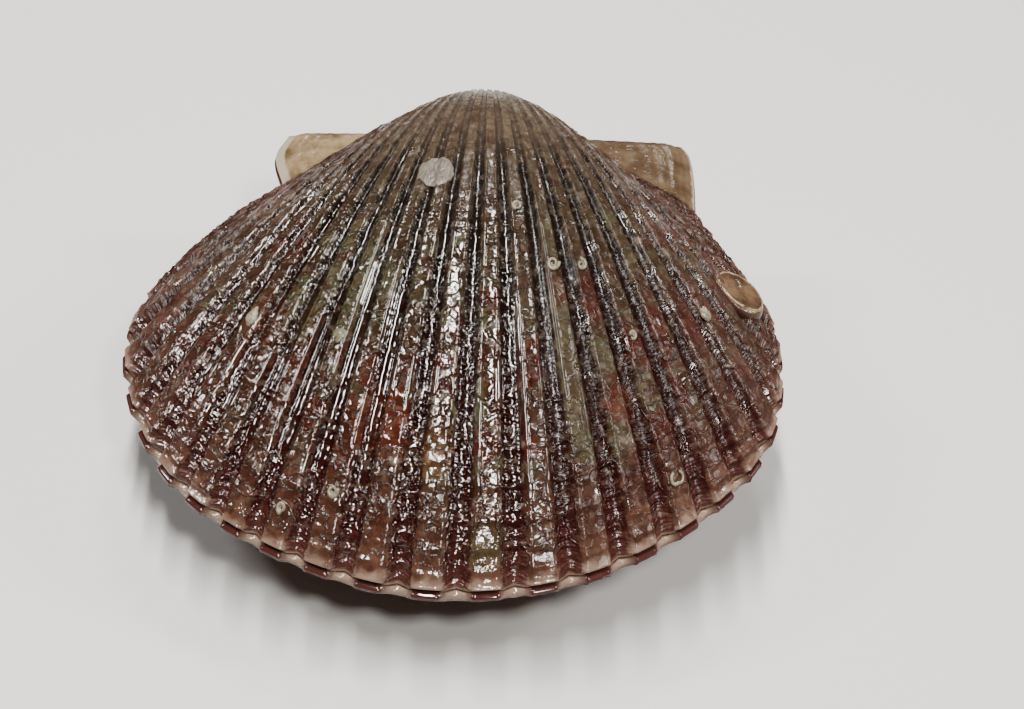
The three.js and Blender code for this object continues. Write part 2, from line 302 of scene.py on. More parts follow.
def growth_surface(points, radii, coil, height_factor):
    """Smooth growth surface: one row of points for each radius."""
    turn = (coil * np.log(1 / radii))[:, None]
    reach = -points[None, :, 1] * radii[:, None]
    return np.stack([points[None, :, 0] * radii[:, None],
                     -reach * np.cos(turn),
                     reach * np.sin(turn) * height_factor], -1)


def surface_normals(surface):
    across = np.gradient(surface, axis=1)
    inwards = -np.gradient(surface, axis=0)
    normals = np.cross(across, inwards)
    length = np.linalg.norm(normals, axis=2, keepdims=True)
    return normals / np.maximum(length, 1e-9)


def wall_thickness(radii):
    return WALL * (1 - RIM_THINNING * smooth(radii, DOME_START_RADIUS, 1))


def to_row(points):
    """From millimetres in the valves' frame to metres as the shell lies."""
    flat = np.asarray(points, float).reshape(-1, 3) * MM
    return flat @ np.array(rest_turn).T + np.array(hinge_place)


def crest_height(rib_numbers):
    """1 on a rib's flat crest, 0 in an interspace, with rounded flanks between. The fine
    riblets of the flanks rise and fall in the same way."""
    offset = np.abs(rib_numbers - np.round(rib_numbers))
    crest = 1 - smooth(offset, CREST_HALF_WIDTH, RIB_FOOT)
    beside = np.clip(np.maximum(-0.5 - rib_numbers, rib_numbers - RIB_COUNT + 0.5), 0, 2.5)
    riblet = 0.5 - 0.5 * np.cos(2 * np.pi * FLANK_RIBLETS * beside)
    return np.where(beside > 0, riblet, crest)


def water_film(rib_numbers, radii):
    """1 in the middle of a thread of water, 0 away from it. Water stands along the bottoms of
    the furrows left of the middle, and in broken lengths along the edges of the ribs."""
    rib, r = rib_numbers[None, :], radii[:, None]
    offset = np.abs(rib - np.round(rib))
    edge = np.round(rib) * 2 + (rib > np.round(rib))
    broken = smooth(patchy(edge * 5.3, r * 15 + edge, 14), 0.0, 0.3)
    beside_crest = np.exp(-(((offset - CREST_FILM_OFFSET) / CREST_FILM_WIDTH) ** 2)) * broken
    in_furrow = np.exp(-(((offset - 0.5) / FURROW_FILM_WIDTH) ** 2))

    def standing(ribs, radii_held):
        first, last = ribs
        low, high = radii_held
        across = smooth(rib, first - 0.3, first) * smooth(rib, last + 0.3, last)
        return across * smooth(r, low - 0.03, low) * smooth(r, high + 0.04, high)

    return np.maximum(beside_crest * standing(FILM_RIBS, FILM_RADII),
                      in_furrow * standing(FURROW_FILM_RIBS, FURROW_FILM_RADII))


def fine_relief(rib_numbers, ears, radii):
    """Millimetres of relief on the ribbed fan: steps where growth paused, plates on the crests,
    beads along the crests' edges, rungs across the interspaces, riblets on the flanks."""
    rib, r = rib_numbers[None, :], radii[:, None]
    crest = crest_height(rib_numbers)[None, :]
    nearest = np.round(rib)
    offset = np.abs(rib - nearest)
    on_fan = (1 - ears)[None, :]
    flank = smooth(np.maximum(-rib, rib - RIB_COUNT + 1), 0.4, 0.8) * on_fan
    waver = 0.45 * patchy(rib * 0.8, r * 11, 3) + 0.25 * patchy(rib * 2.3, r * 30, 4)
    rung = np.abs(np.sin(np.pi * (r * RUNGS + waver))) ** 0.7
    plate_step = r * PLATES * (1 + 0.12 * patchy(nearest, 0, 5)) + 5 * patchy(nearest, 0.5, 6)
    plate = np.abs(np.sin(np.pi * (plate_step + 0.3 * patchy(nearest, r * 9, 7)))) ** 0.45
    edge = np.exp(-(((offset - 0.22) / 0.045) ** 2))
    beads = 0.6 + 0.8 * patchy(nearest * 7, r * 60, 8)
    grains = patchy(rib * 6.5, r * 95, 9)
    strong = 0.65 + 0.6 * patchy(rib * 0.7, r * 6, 10)
    quiet = smooth(np.abs(rib - 11), 7, 3) * smooth(r, 0.35, 0.42) * smooth(r, 0.85, 0.75)
    relief = RUNG_HEIGHT * (rung - 0.6) * (1 - crest) * strong * (1 - flank) * (1 - 0.6 * quiet)
    relief += PLATE_HEIGHT * (plate - 0.7) * crest * strong * (1 - flank)
    relief += EDGE_BEAD_HEIGHT * edge * beads * (1 - flank)
    relief += BEAD_HEIGHT * grains * (0.5 + 0.5 * (1 - crest)) * (1 - 0.5 * quiet)
    relief += RIBLET_HEIGHT * (crest - 0.5) * flank * (0.8 + 0.4 * patchy(rib * 3, r * 45, 11))
    for count, stop in enumerate(GROWTH_STOPS):
        ragged = stop + 0.004 * patchy(rib * 0.9, count, 12)
        ledge = np.exp(-np.abs((r - ragged) / STOP_WIDTH) ** 1.5)
        relief += STOP_HEIGHT * ledge * (0.5 + 0.5 * strong)
    fade = smooth(r, 0.05, 0.2) * (0.3 + 0.7 * r)
    film = water_film(rib_numbers, radii)
    return (relief * (1 - film) + FILM_HEIGHT * film) * on_fan * fade


def ear_relief(ears, radii):
    """Low growth lines on the ears, which lie in step with their outer edges."""
    r = radii[:, None]
    lines = np.sin(2 * np.pi * (r * EAR_LINES + 0.8 * patchy(r * 9, 0, 13)))
    return EAR_LINE_HEIGHT * lines * ears[None, :] * smooth(r, 0.2, 0.4)


def margin_scale(crest, strength, radii, recess):
    """The margin draws back in an arch at each interspace."""
    return 1 - recess * (1 - crest[None, :]) * strength[None, :] * smooth(radii, 0.9, 1)[:, None]


def outer_side(columns, radii, coil, side, recess):
    """Outside of a wall, with its ribs. Side is 1 on the upper valve and -1 on the lower."""
    points, rib_numbers, ears = columns
    crest = crest_height(rib_numbers)
    strength = rib_strength(rib_numbers)
    arch = smooth(np.abs(rib_numbers - np.round(rib_numbers)), *ARCH_OFFSETS)
    surface = growth_surface(points, radii, coil, 1 - (1 - EAR_HEIGHT_FACTOR) * ears)
    normals = surface_normals(growth_surface(points, radii, coil, 1))
    normals[:, 0] = normals[:, -1] = (0, 0, 1)
    if side < 0:
        normals[:] = (0, 0, 1)
    relief = side * RIB_HEIGHT * ((crest - 0.5) * strength)[None, :] * radii[:, None]
    relief += fine_relief(rib_numbers, ears, radii) + ear_relief(ears, radii)
    surface += normals * relief[..., None]
    surface[..., :2] *= margin_scale(arch, strength, radii, recess)[..., None]
    surface[..., 2] += wall_thickness(radii)[:, None]
    return surface


def inner_side(columns, radii, coil, side, recess):
    """Inside of a wall: lip, dome, and the flat hinge plate with its three-cornered pit."""
    points, rib_numbers, ears = columns
    crest = crest_height(rib_numbers)
    strength = rib_strength(rib_numbers)
    arch = smooth(np.abs(rib_numbers - np.round(rib_numbers)), *ARCH_OFFSETS)
    turn = (coil * np.log(1 / radii))[:, None]
    reach = -points[None, :, 1] * radii[:, None]
    opened = smooth(radii, PLATE_RADIUS, CAVITY_RADIUS)[:, None]
    domed = 1 - smooth(radii, DOME_START_RADIUS, LIP_RADIUS)[:, None]
    factor = 1 - (1 - EAR_HEIGHT_FACTOR) * ears
    dome = DOME_THINNING * reach * np.sin(turn) * factor * opened * domed
    toward_margin = smooth(radii, WAVE_END_RADIUS, 1)[:, None]
    wave = side * MARGIN_WAVE * ((crest - 0.5) * strength) * toward_margin
    spread = np.abs(points[:, 0]) / np.maximum(-points[:, 1], 1e-6)
    pit = PIT_DEPTH * (1 - smooth(spread, PIT_SPREAD * 0.9, PIT_SPREAD * 1.1)) * (1 - opened)
    backed = margin_scale(arch, strength, radii, recess)
    return np.stack([
        points[None, :, 0] * radii[:, None] * backed,
        -reach * (PLATE_REACH + (np.cos(turn) - PLATE_REACH) * opened) * backed,
        VALVE_CLEARANCE / 2 + dome + wave + pit,
    ], -1)


def points_of(piece):
    """A mesh's points, one in each row."""
    points = np.empty(len(piece.data.vertices) * 3)
    piece.data.vertices.foreach_get("co", points)
    return points.reshape(-1, 3)


def move_points(piece, points):
    piece.data.vertices.foreach_set("co", points.ravel())
    piece.data.update()


def enclosed_volume(piece):
    """Volume inside a closed mesh, below 0 where its faces look inwards."""
    piece.data.calc_loop_triangles()
    corners = np.empty(len(piece.data.loop_triangles) * 3, np.int32)
    piece.data.loop_triangles.foreach_get("vertices", corners)
    first, second, third = points_of(piece)[corners.reshape(-1, 3)].transpose(1, 0, 2)
    return (first * np.cross(second, third)).sum() / 6


def valve_mesh(name, points, rib_numbers, ears, coil, side, recess):
    """One closed valve from a grid: rows run from the beak over the outside to the margin,
    round the rim and back along the inside. The grid's edges meet and are merged."""
    columns = (points, rib_numbers, ears)
    inner_radii = 1 - (1 - BEAK_RADIUS) * np.linspace(0, 1, INNER_ROWS) ** 1.4
    outer_radii = 1 - (1 - BEAK_RADIUS) * np.linspace(1, 0, OUTER_ROWS) ** 1.12
    outer = outer_side(columns, outer_radii, coil, side, recess)
    inner = inner_side(columns, inner_radii, coil, side, recess)
    rim = [outer[-1] + (inner[0] - outer[-1]) * step / (RIM_ROWS + 1)
           for step in range(1, RIM_ROWS + 1)]
    beak = (outer[:1] + inner[-1:]) / 2
    sheet = np.concatenate([beak, outer, np.array(rim), inner, beak])
    radii = np.concatenate([[BEAK_RADIUS], outer_radii, np.ones(RIM_ROWS), inner_radii,
                            [BEAK_RADIUS]])
    inside = np.concatenate([np.zeros(OUTER_ROWS + 1), np.linspace(0.2, 0.8, RIM_ROWS),
                             np.ones(INNER_ROWS + 1)])
    nearest = inner_radii[np.abs(radii[:, None] - inner_radii[None, :]).argmin(1)]
    hinge_height = np.full(len(radii), (WALL + VALVE_CLEARANCE / 2) / 2)
    edges = [np.stack([nearest * points[end, 0], nearest * points[end, 1], hinge_height], -1)
             for end in (0, -1)]
    sheet = np.concatenate([edges[0][:, None], sheet, edges[1][:, None]], 1)
    rows, wide = sheet.shape[:2]
    if side < 0:
        sheet[..., 2] *= -1

    clear_selection()
    bpy.ops.mesh.primitive_grid_add(x_subdivisions=wide - 1, y_subdivisions=rows - 1, size=1)
    valve = bpy.context.object
    valve.name = name
    mesh = valve.data
    mesh.vertices.foreach_set("co", to_row(sheet).astype(np.float32).ravel())
    values = {
        "rib": np.r_[rib_numbers[0], rib_numbers, rib_numbers[-1]][None, :],
        "crest": np.r_[1, np.maximum(crest_height(rib_numbers), ears), 1][None, :],
        "ear": np.r_[1, ears, 1][None, :],
        "growth": radii[:, None],
        "inside": inside[:, None],
        "film": water_film(np.r_[0, rib_numbers, 0], radii) * (inside < 0.1)[:, None],
    }
    for key, value in values.items():
        layer = mesh.attributes.new(key, "FLOAT", "POINT")
        spread = np.broadcast_to(value, (rows, wide))
        layer.data.foreach_set("value", np.ascontiguousarray(spread, np.float32).ravel())
    mesh.update()
    bpy.ops.object.mode_set(mode="EDIT")
    bpy.ops.mesh.select_all(action="SELECT")
    bpy.ops.mesh.remove_doubles(threshold=1e-7)
    bpy.ops.mesh.normals_make_consistent(inside=False)
    bpy.ops.object.mode_set(mode="OBJECT")
    if enclosed_volume(valve) < 0:
        bpy.ops.object.mode_set(mode="EDIT")
        bpy.ops.mesh.flip_normals()
        bpy.ops.object.mode_set(mode="OBJECT")
    bpy.ops.object.shade_smooth()
    return valve


UPPER_RECESS = 0.016
upper_points, upper_ribs, upper_ears = shell_columns()
upper_valve = valve_mesh("upper_valve_shell", upper_points, upper_ribs, upper_ears,
                         COIL_UPPER, 1, UPPER_RECESS)
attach(upper_valve, "upper")
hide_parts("upper_valve")


# ------------------------------------------------------------------ upper valve, surface
# Wet calcite: maroon furrows, grey-pink ribs, tan ears, stains of weed and rust, and a film of
# water whose glints follow every bead. Inside it is smooth and cream, with a purple margin.
WET_ROUGHNESS = (0.05, 0.13)
DRY_ROUGHNESS = (0.24, 0.36)


def calc(tree, operation, *values, clamp=False):
    """A Math node's result."""
    node = put(tree, "ShaderNodeMath", {"operation": operation, "use_clamp": clamp})
    for socket, value in zip(node.inputs, values):
        feed(tree, socket, value)
    return node.outputs[0]


def times(tree, *values):
    """The product of values."""
    product = values[0]
    for value in values[1:]:
        product = calc(tree, "MULTIPLY", product, value)
    return product


def less(tree, value, share=1.0):
    """1 minus a share of a value."""
    return calc(tree, "SUBTRACT", 1.0, times(tree, value, share))


def remap(tree, value, start, end, low=0.0, high=1.0):
    """Smooth step of a value, from low at start to high at end."""
    return put(tree, "ShaderNodeMapRange", {"interpolation_type": "SMOOTHSTEP"}, Value=value,
               From_Min=start, From_Max=end, To_Min=low, To_Max=high).outputs[0]


def mix(tree, factor, first, second, blend="MIX"):
    """Colour between first and second."""
    node = put(tree, "ShaderNodeMix", {"data_type": "RGBA", "blend_type": blend})
    for socket, value in ((node.inputs[0], factor), (node.inputs[6], first), (node.inputs[7], second)):
        feed(tree, socket, value)
    return node.outputs[2]


def ramp(tree, value, stops):
    """Colour ramp through (place, red, green, blue) stops."""
    node = put(tree, "ShaderNodeValToRGB", Fac=value)
    points = node.color_ramp.elements
    while len(points) < len(stops):
        points.new(0.5)
    for point, (place, red, green, blue) in zip(points, stops):
        point.position = place
        point.color = (red, green, blue, 1)
    return node.outputs["Color"]


def attribute(tree, name):
    return put(tree, "ShaderNodeAttribute", {"attribute_name": name}).outputs["Fac"]


def noise(tree, vector, scale, detail=3.0, roughness=0.5):
    return put(tree, "ShaderNodeTexNoise", Vector=vector, Scale=scale, Detail=detail,
               Roughness=roughness).outputs["Fac"]


def pair(tree, first, second):
    return put(tree, "ShaderNodeCombineXYZ", X=first, Y=second).outputs[0]


def new_group(name, inputs, outputs):
    """A shader node group. Inputs are name: default; returns its tree and its two end nodes."""
    tree = bpy.data.node_groups.new(name, "ShaderNodeTree")
    for title, value in inputs.items():
        kind = "NodeSocketVector" if value is None else "NodeSocketFloat"
        socket = tree.interface.new_socket(title, in_out="INPUT", socket_type=kind)
        if value is not None:
            socket.default_value = value
    for title in outputs:
        tree.interface.new_socket(title, in_out="OUTPUT", socket_type="NodeSocketFloat")
    return tree, tree.nodes.new("NodeGroupInput").outputs, tree.nodes.new("NodeGroupOutput").inputs


def use(tree, group, **inputs):
    """Places a node group and returns its outputs."""
    return put(tree, "ShaderNodeGroup", {"node_tree": group}, **inputs).outputs


def granules_group():
    """Beads of lime: a height, and a shade that differs from bead to bead."""
    tree, given, made = new_group("granules", {"Vector": None, "Scale": 1.0}, ["Height", "Shade"])
    bead = put(tree, "ShaderNodeTexVoronoi", Vector=given["Vector"], Scale=given["Scale"])
    grit = noise(tree, given["Vector"], times(tree, given["Scale"], 2.3), 2.0)
    dome = calc(tree, "SUBTRACT", 1.0, calc(tree, "POWER", bead.outputs["Distance"], 2.0), clamp=True)
    tree.links.new(calc(tree, "ADD", dome, times(tree, grit, 0.4)), made["Height"])
    shade = put(tree, "ShaderNodeSeparateColor", Color=bead.outputs["Color"]).outputs[0]
    tree.links.new(shade, made["Shade"])
    return tree


def lamellae_group():
    """Thin upturned edges across the direction of growth, which waver from rib to rib."""
    tree, given, made = new_group("growth lamellae", {"Rib": 0.0, "Growth": 0.0, "Count": 100.0,
                                                      "Waver": 1.0}, ["Height"])
    across = times(tree, given["Rib"], 1.7)
    up = times(tree, given["Growth"], 24.0)
    waver = times(tree, noise(tree, pair(tree, across, up), 1.0, 2.0), given["Waver"])
    step = calc(tree, "ADD", times(tree, given["Growth"], given["Count"]), waver)
    slope = calc(tree, "FRACT", step)
    edge = times(tree, remap(tree, slope, 0.0, 0.75), remap(tree, slope, 1.0, 0.85))
    tree.links.new(edge, made["Height"])
    return tree


def squiggles_group():
    """Thin raised threads of lime that wander, branch and close on themselves."""
    tree, given, made = new_group("squiggles", {"Vector": None, "Scale": 1.0, "Width": 0.04}, ["Height"])
    field = noise(tree, given["Vector"], given["Scale"], 1.0)
    far = calc(tree, "ABSOLUTE", calc(tree, "SUBTRACT", field, 0.5))
    tree.links.new(remap(tree, far, given["Width"], 0.0), made["Height"])
    return tree


def blotches_group():
    """Soft-edged patches."""
    tree, given, made = new_group("blotches", {"Vector": None, "Scale": 1.0, "Cover": 0.5,
                                               "Softness": 0.08}, ["Mask"])
    spread = noise(tree, given["Vector"], given["Scale"], 4.0, 0.6)
    edge = calc(tree, "SUBTRACT", 1.0, given["Cover"])
    low = calc(tree, "SUBTRACT", edge, given["Softness"])
    high = calc(tree, "ADD", edge, given["Softness"])
    tree.links.new(remap(tree, spread, low, high), made["Mask"])
    return tree


def stain_group():
    """A ragged spot on the shell, at a rib number and a growth radius."""
    tree, given, made = new_group("stain", {"Vector": None, "Rib": 0.0, "Growth": 0.0,
                                            "At Rib": 0.0, "At Growth": 0.0, "Ribs": 1.0,
                                            "Length": 0.1}, ["Mask"])
    off = calc(tree, "DIVIDE", calc(tree, "SUBTRACT", given["Rib"], given["At Rib"]), given["Ribs"])
    above = calc(tree, "SUBTRACT", given["Growth"], given["At Growth"])
    up = calc(tree, "DIVIDE", above, given["Length"])
    far = calc(tree, "SQRT", calc(tree, "ADD", times(tree, off, off),
                                  times(tree, up, up)))
    ragged = times(tree, calc(tree, "SUBTRACT", noise(tree, given["Vector"], 900.0), 0.5), 2.2)
    tree.links.new(remap(tree, calc(tree, "ADD", far, ragged), 1.15, 0.55), made["Mask"])
    return tree


granules = granules_group()
lamellae = lamellae_group()
squiggles = squiggles_group()
blotches = blotches_group()
stain = stain_group()


def new_material(name, roughness, specular, coat):
    """A wet-looking material. Returns it, its tree, its shader and its place coordinates."""
    material = bpy.data.materials.new(name)
    material.use_nodes = True
    shader = material.node_tree.nodes["Principled BSDF"]
    shader.inputs["Roughness"].default_value = roughness
    shader.inputs["Specular IOR Level"].default_value = specular
    shader.inputs["Coat Weight"].default_value = coat
    shader.inputs["Coat Roughness"].default_value = 0.06
    here = put(material.node_tree, "ShaderNodeTexCoord").outputs["Object"]
    return material, material.node_tree, shader, here


def bump(tree, height, distance, under=None):
    node = put(tree, "ShaderNodeBump", Height=height, Distance=distance)
    if under is not None:
        tree.links.new(under, node.inputs["Normal"])
    return node.outputs["Normal"]


def outside_colour(tree, look, here, rib, crest, growth, beads):
    """Colour of the ribbed fan: furrows, ribs, sides, patches, stains and specks, with each bead's own
    tone and painted shade in the gaps between beads.
    """
    patch = use(tree, blotches, Vector=here, Scale=170.0, Cover=0.48, Softness=0.14)["Mask"]
    speck = use(tree, blotches, Vector=here, Scale=950.0, Cover=0.42, Softness=0.05)["Mask"]
    worn = use(tree, blotches, Vector=here, Scale=330.0, Cover=0.47, Softness=0.07)["Mask"]
    ragged = calc(tree, "SUBTRACT", beads["Shade"], 0.5)
    ragged = calc(tree, "ADD", crest, times(tree, ragged, 0.45))
    on_rib = remap(tree, ragged, 0.3, 0.8)
    rib_colour = ramp(tree, growth, look["ribs"])
    for tint, scale, cover, start, end in look["patches"]:
        spread = use(tree, blotches, Vector=here, Scale=scale, Cover=cover, Softness=0.06)["Mask"]
        along = times(tree, remap(tree, growth, start, start + 0.1), remap(tree, growth, end, end - 0.1))
        rib_colour = mix(tree, times(tree, spread, along), rib_colour, tint)
    outward = calc(tree, "ABSOLUTE", calc(tree, "SUBTRACT", rib, look["middle_rib"]))
    beside = remap(tree, outward, 4.5, 11.5)
    side_colour = mix(tree, patch, look["side"], look["side_dark"])
    rib_colour = mix(tree, times(tree, beside, 0.85), rib_colour, side_colour)
    rib_colour = mix(tree, times(tree, worn, 0.55), rib_colour, look["side_dark"])
    furrow_colour = ramp(tree, growth, look["furrows"])
    side_furrow = times(tree, beside, look["side_furrow"])
    furrow_colour = mix(tree, side_furrow, furrow_colour, look["side_dark"])
    colour = mix(tree, on_rib, furrow_colour, rib_colour)
    for tint, at_rib, at_growth, ribs, length, weight in look["stains"]:
        spot = use(tree, stain, Vector=here, Rib=rib, Growth=growth, At_Rib=at_rib,
                   At_Growth=at_growth, Ribs=ribs, Length=length)["Mask"]
        held = calc(tree, "ADD", times(tree, on_rib, 0.5), weight - 0.5)
        colour = mix(tree, calc(tree, "MULTIPLY", spot, held, clamp=True), colour, tint)
    colour = mix(tree, times(tree, speck, 0.3), colour, look["speck"])
    # Each bead has its own random tone, and the colour darkens where a bead's height falls off: painted
    # shade in the gaps between beads.
    shade = remap(tree, times(tree, beads["Shade"], beads["Height"]), 0.0, 0.9, 0.8, 1.2)
    bead_tone_and_painted_gap_shade = put(tree, "ShaderNodeCombineColor", Red=shade, Green=shade, Blue=shade).outputs[0]
    colour = mix(tree, 1.0, colour, bead_tone_and_painted_gap_shade, "MULTIPLY")
    torn = calc(tree, "SUBTRACT", noise(tree, here, 520.0, 3.0), 0.5)
    ragged_growth = calc(tree, "ADD", growth, times(tree, torn, 0.045))
    rim_wear = remap(tree, ragged_growth, look["rim_from"], look["rim_from"] + 0.02)
    rim_colour = mix(tree, on_rib, look["rim_furrow"], look["rim_rib"])
    return mix(tree, rim_wear, colour, rim_colour)


def ear_colour(tree, look, here, rib, growth):
    """Colour of the ears: cloudy tan, browner on the right, with a thin pale edge."""
    cloud = use(tree, blotches, Vector=here, Scale=240.0, Cover=0.5, Softness=0.16)["Mask"]
    fleck = use(tree, blotches, Vector=here, Scale=700.0, Cover=0.45, Softness=0.1)["Mask"]
    left = mix(tree, cloud, look["ear_dark"], look["ear_light"])
    right = mix(tree, cloud, look["right_ear_dark"], look["right_ear_light"])
    colour = mix(tree, remap(tree, rib, 20.0, 26.0), left, right)
    colour = mix(tree, times(tree, fleck, 0.35), colour, look["ear_dark"])
    ragged = calc(tree, "ADD", growth, times(tree, fleck, 0.006))
    width = remap(tree, rib, 20.0, 26.0, 0.955, 0.986)
    edge = calc(tree, "DIVIDE", calc(tree, "SUBTRACT", ragged, width), 0.012, clamp=True)
    return mix(tree, times(tree, edge, 0.8), colour, look["ear_edge"])


def inside_colour(tree, look, here, rib, growth):
    """Colour of the smooth inside, with the scar where the closing muscle held."""
    colour = ramp(tree, growth, look["inside"])
    scar = use(tree, stain, Vector=here, Rib=rib, Growth=growth, At_Rib=13.0, At_Growth=0.42,
               Ribs=4.5, Length=0.13)["Mask"]
    return mix(tree, times(tree, scar, 0.4), colour, look["scar"])


def wetness(tree, look, here, rib, growth, ear):
    """1 where a film of water lies, at the middle ribs and in spots, and 0 where it has run off."""
    first, last = look["wet_ribs"]
    middle = times(tree, remap(tree, rib, first - 2.5, first), remap(tree, rib, last + 2.5, last),
                   remap(tree, growth, 0.4, 0.52))
    wet = calc(tree, "MAXIMUM", middle, times(tree, remap(tree, ear, 0.1, 0.6), 0.3))
    spots = remap(tree, noise(tree, here, 380.0, 2.0), 0.56, 0.66, 0.0, 0.75)
    return calc(tree, "MAXIMUM", wet, spots)


def shell_material(name, look):
    """Surface of a valve, from its rib, crest, growth, ear, inside and film attributes."""
    material, tree, shader, here = new_material(name, WET_ROUGHNESS[1], look["specular"], 0.0)
    rib, crest, growth, ear, inside, film = (attribute(tree, key) for key in
                                             ("rib", "crest", "growth", "ear", "inside", "film"))
    bead = use(tree, granules, Vector=here, Scale=look["bead_scale"])
    colour = outside_colour(tree, look, here, rib, crest, growth, bead)
    colour = mix(tree, remap(tree, ear, 0.1, 0.6), colour, ear_colour(tree, look, here, rib, growth))
    lining = inside_colour(tree, look, here, rib, growth)
    colour = mix(tree, remap(tree, inside, 0.55, 0.95), colour, lining)
    near_edge = calc(tree, "MAXIMUM", remap(tree, inside, 0.9, 0.7), remap(tree, growth, 0.955, 0.98))
    lip = times(tree, remap(tree, inside, 0.1, 0.3), near_edge)
    colour = mix(tree, lip, colour, mix(tree, crest, look["lip_furrow"], look["lip_rib"]))
    feed(tree, shader.inputs["Base Color"], colour)

    thread = use(tree, squiggles, Vector=here, Scale=look["squiggle_scale"], Width=0.05)["Height"]
    rung = use(tree, lamellae, Rib=rib, Growth=growth, Count=look["lamellae"], Waver=5.0)["Height"]
    outside = less(tree, remap(tree, inside, 0.1, 0.6))
    bare = less(tree, remap(tree, film, 0.15, 0.5))
    slick = times(tree, remap(tree, growth, 0.66, 0.52), less(tree, crest))
    rough = times(tree, outside, less(tree, ear, 0.8), bare, less(tree, slick, 0.9))
    wet = wetness(tree, look, here, rib, growth, ear)
    grown = times(tree, rough, remap(tree, growth, 0.4, 0.56, 0.35, 1.0),
                  calc(tree, "MAXIMUM", crest, remap(tree, growth, 0.7, 0.85, 0.3, 1.0)),
                  remap(tree, growth, 0.985, 0.95), remap(tree, wet, 0.0, 1.0, 0.25, 1.0))
    gritty = bump(tree, times(tree, bead["Height"], rough), look["bead_depth"])
    raised = bump(tree, times(tree, thread, grown), look["squiggle_depth"], under=gritty)
    rungs = times(tree, rung, times(tree, rough, less(tree, crest, 0.9)))
    stepped = bump(tree, rungs, look["lamella_depth"], under=raised)
    feed(tree, shader.inputs["Normal"], stepped)
    gloss = noise(tree, here, 600.0, 3.0)
    wet_roughness = remap(tree, gloss, 0.35, 0.7, *WET_ROUGHNESS)
    dry_roughness = remap(tree, gloss, 0.35, 0.7, *DRY_ROUGHNESS)
    drier = times(tree, calc(tree, "SUBTRACT", dry_roughness, wet_roughness), less(tree, wet))
    feed(tree, shader.inputs["Roughness"], calc(tree, "ADD", wet_roughness, drier))
    specular = remap(tree, wet, 0.0, 1.0, look["dry_specular"], look["specular"])
    feed(tree, shader.inputs["Specular IOR Level"], specular)
    return material


UPPER_LOOK = {
    "specular": 0.5,
    "dry_specular": 0.13,
    "wet_ribs": (5.0, 13.0),
    "bead_scale": 1050.0,
    "bead_depth": 0.00008,
    "squiggle_scale": 520.0,
    "squiggle_depth": 0.00028,
    "lamellae": 150.0,
    "lamella_depth": 0.00006,
    "middle_rib": 12.0,
    "ribs": [
        (0.0, 0.065, 0.0475, 0.0304), (0.3, 0.044, 0.0304, 0.0192), (0.42, 0.024, 0.0162, 0.0096),
        (0.55, 0.019, 0.0114, 0.006), (0.68, 0.018, 0.009, 0.0048), (0.86, 0.021, 0.0076, 0.004),
        (0.93, 0.030, 0.0109, 0.0064), (1.0, 0.055, 0.0247, 0.0152),
    ],
    "furrows": [
        (0.0, 0.0676, 0.0468, 0.0343), (0.3, 0.0312, 0.0218, 0.0156), (0.4, 0.0052, 0.0031, 0.0021),
        (0.58, 0.0031, 0.0013, 0.0008), (0.7, 0.0052, 0.001, 0.0007), (0.88, 0.0104, 0.0016, 0.0011),
        (0.955, 0.0208, 0.0036, 0.0031), (1.0, 0.0338, 0.0094, 0.0073),
    ],
    "patches": [
        # colour, scale, cover, from radius, to radius
        ((0.027, 0.023, 0.011, 1), 120.0, 0.47, 0.42, 0.92),
        ((0.024, 0.0048, 0.0028, 1), 145.0, 0.45, 0.52, 0.97),
        ((0.060, 0.044, 0.032, 1), 310.0, 0.36, 0.2, 0.99),
    ],
    "side": (0.055, 0.026, 0.020, 1),
    "side_dark": (0.0175, 0.006, 0.004, 1),
    "side_furrow": 0.55,
    "speck": (0.070, 0.052, 0.036, 1),
    "stains": [
        # colour, rib, radius, ribs wide, length, weight
        ((0.034, 0.028, 0.013, 1), 15.0, 0.73, 0.5, 0.11, 0.55),
        ((0.0273, 0.0248, 0.0109, 1), 9.2, 0.63, 1.0, 0.10, 0.6),
        ((0.051, 0.0218, 0.0066, 1), 11.8, 0.835, 0.5, 0.035, 0.7),
        ((0.0364, 0.0066, 0.0029, 1), 10.7, 0.80, 0.8, 0.05, 0.8),
        ((0.0364, 0.008, 0.0036, 1), 16.2, 0.80, 0.5, 0.04, 0.8),
        ((0.0364, 0.0109, 0.0058, 1), 6.4, 0.74, 0.7, 0.06, 0.7),
        ((0.04, 0.0291, 0.0131, 1), 7.6, 0.70, 0.6, 0.05, 0.6),
        ((0.0364, 0.0284, 0.0116, 1), 12.9, 0.95, 0.6, 0.03, 0.6),
    ],
    "rim_from": 0.982,
    "rim_furrow": (0.040, 0.013, 0.010, 1),
    "rim_rib": (0.135, 0.086, 0.064, 1),
    "ear_dark": (0.0523, 0.0303, 0.0132, 1),
    "ear_light": (0.16, 0.112, 0.062, 1),
    "ear_edge": (0.22, 0.187, 0.1375, 1),
    "right_ear_dark": (0.036, 0.020, 0.011, 1),
    "right_ear_light": (0.075, 0.050, 0.029, 1),
    "scar": (0.434, 0.364, 0.315, 1),
    "inside": [
        (0.0, 0.35, 0.28, 0.231), (0.5, 0.434, 0.35, 0.294), (0.8, 0.392, 0.294, 0.245),
        (0.92, 0.182, 0.084, 0.07), (0.97, 0.084, 0.028, 0.0245), (1.0, 0.154, 0.084, 0.0595),
    ],
    "lip_furrow": (0.126, 0.07, 0.049, 1),
    "lip_rib": (0.28, 0.203, 0.154, 1),
}
upper_valve.data.materials.append(shell_material("wet_shell_upper", UPPER_LOOK))
